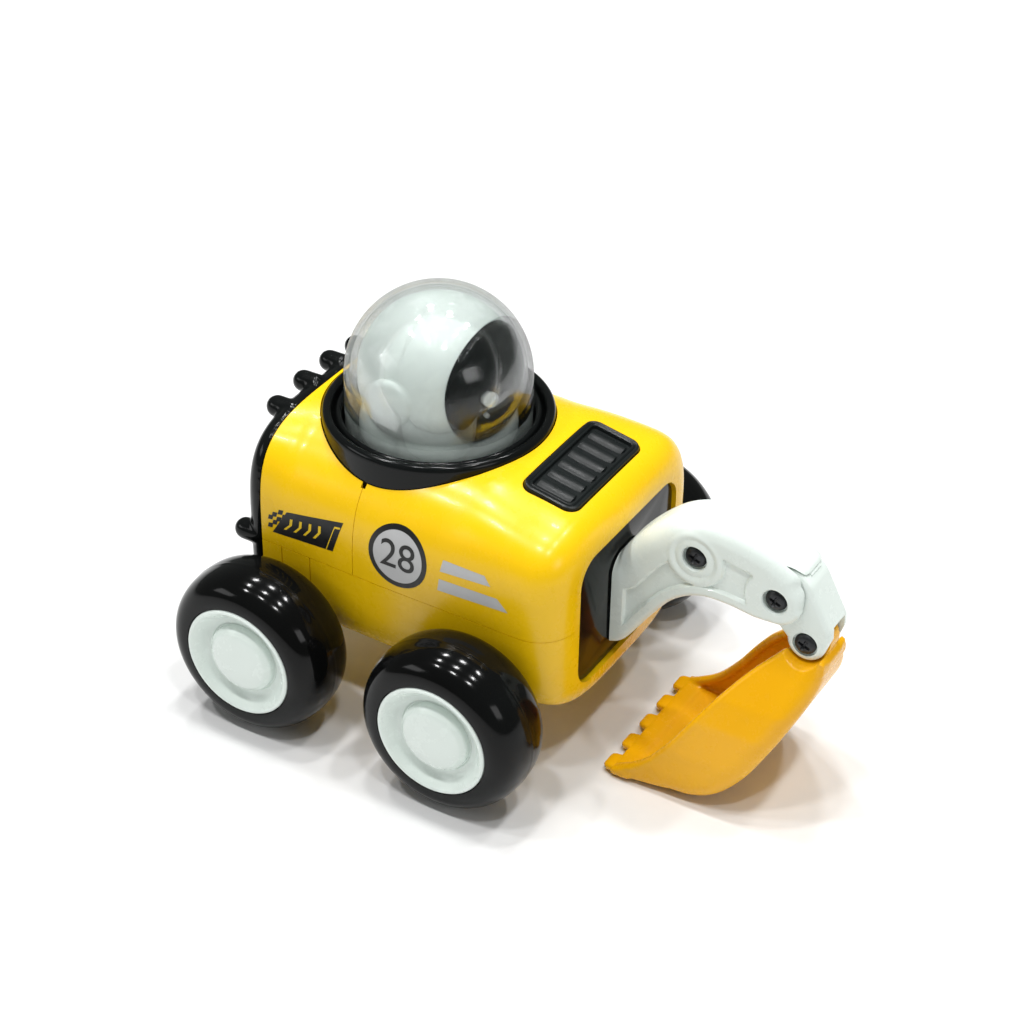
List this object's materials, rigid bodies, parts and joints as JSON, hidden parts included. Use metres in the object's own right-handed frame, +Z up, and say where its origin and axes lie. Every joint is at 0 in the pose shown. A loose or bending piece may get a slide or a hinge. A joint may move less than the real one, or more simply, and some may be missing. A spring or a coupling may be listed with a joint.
{
  "type": "toy excavator",
  "caption": "Chunky press-and-go toy excavator with a yellow body, clear dome over a white figure, fat tyres, and a white arm with a toothed bucket.",
  "frame": {"origin": "middle of the part's footprint on the ground, under the centre of its overall box", "axes": "+X from the rear cover towards the arm, +Y to the left side, +Z up"},
  "size_m": [0.1324, 0.0962, 0.0906],
  "materials": {
    "body_yellow": "smooth gloss",
    "bucket_yellow": "smooth gloss",
    "white_plastic": "gloss, faintly green white",
    "black_gloss": "high gloss",
    "black_satin": "satin",
    "tyre_black": "glossy soft vinyl",
    "clear_plastic": "clear gloss",
    "gear_white": "natural acetal",
    "bright_steel": "bright drawn wire and pin",
    "black_screw": "black oxide"
  },
  "bodies": {
    "chassis": {"chassis_tray": "body_yellow", "front_shell": "body_yellow", "rear_cover": "black_gloss", "boom_shell": "white_plastic", "rear_shell": "body_yellow", "dome_collar": "black_gloss", "return_spring": "bright_steel", "gearbox_right": "black_satin", "boom_cover": "white_plastic", "gearbox_left": "black_satin", "vent_grille": "black_satin", "boom_screw": "black_screw", "stick_pivot_screw": "black_screw", "front_panel": "black_gloss", "tray_screw_1": "black_screw", "tray_screw_2": "black_screw", "tray_screw_3": "black_screw", "tray_screw_4": "black_screw", "cover_screw_1": "black_screw", "cover_screw_2": "black_screw", "drive_shaft": "bright_steel", "clutch_shaft": "bright_steel"},
    "front_wheels": {"front_axle": "bright_steel", "tyre_front_left": "tyre_black", "tyre_front_right": "tyre_black", "hub_front_left": "white_plastic", "hub_front_right": "white_plastic"},
    "rear_wheels": {"rear_axle": "bright_steel", "axle_gear": "gear_white", "tyre_rear_left": "tyre_black", "tyre_rear_right": "tyre_black", "hub_rear_left": "white_plastic", "hub_rear_right": "white_plastic"},
    "dome_press": {"dome": "clear_plastic", "head_rear": "white_plastic", "head_front": "white_plastic", "visor": "black_gloss", "shoulder_ring": "white_plastic", "ear_left": "white_plastic", "ear_right": "white_plastic", "rack_plunger": "black_satin"},
    "drive_gear": {"drive_gear": "gear_white"},
    "clutch_gear": {"clutch_gear": "gear_white"},
    "stick": {"stick": "white_plastic", "bucket_pivot_screw": "black_screw"},
    "bucket": {"bucket": "bucket_yellow"}
  },
  "joints": [
    {"name": "front_axle_spin", "type": "hinge", "parent": "chassis", "child": "front_wheels", "pos_m": [0.00032, 0, 0.019], "axis": [0, 1, 0], "continuous": true},
    {"name": "rear_axle_spin", "type": "hinge", "parent": "chassis", "child": "rear_wheels", "pos_m": [-0.04718, 0, 0.019], "axis": [0, 1, 0], "continuous": true},
    {"name": "dome_slide", "type": "slide", "parent": "chassis", "child": "dome_press", "axis": [0, 0, -1], "range_m": [0, 0.008], "stiffness_N_per_m": 300, "springref_m": -0.004, "deforming": ["return_spring"]},
    {"name": "drive_gear_spin", "type": "hinge", "parent": "chassis", "child": "drive_gear", "pos_m": [-0.0346, 0, 0.0315], "axis": [0, 1, 0], "range_deg": [0, 132]},
    {"name": "clutch_gear_spin", "type": "hinge", "parent": "chassis", "child": "clutch_gear", "pos_m": [-0.04679, 0, 0.02829], "axis": [0, 1, 0], "range_deg": [-342, 0]},
    {"name": "stick_hinge", "type": "hinge", "parent": "chassis", "child": "stick", "pos_m": [0.05378, 0, 0.0489], "axis": [0, -1, 0], "range_deg": [-8, 30]},
    {"name": "bucket_hinge", "type": "hinge", "parent": "stick", "child": "bucket", "pos_m": [0.06028, 0, 0.04], "axis": [0, -1, 0], "range_deg": [-8, 40]}
  ],
  "couplings": [
    {"joint": "drive_gear_spin", "follows": "dome_slide", "rad_per_m": 285.71},
    {"joint": "clutch_gear_spin", "follows": "dome_slide", "rad_per_m": -742.86}
  ]
}
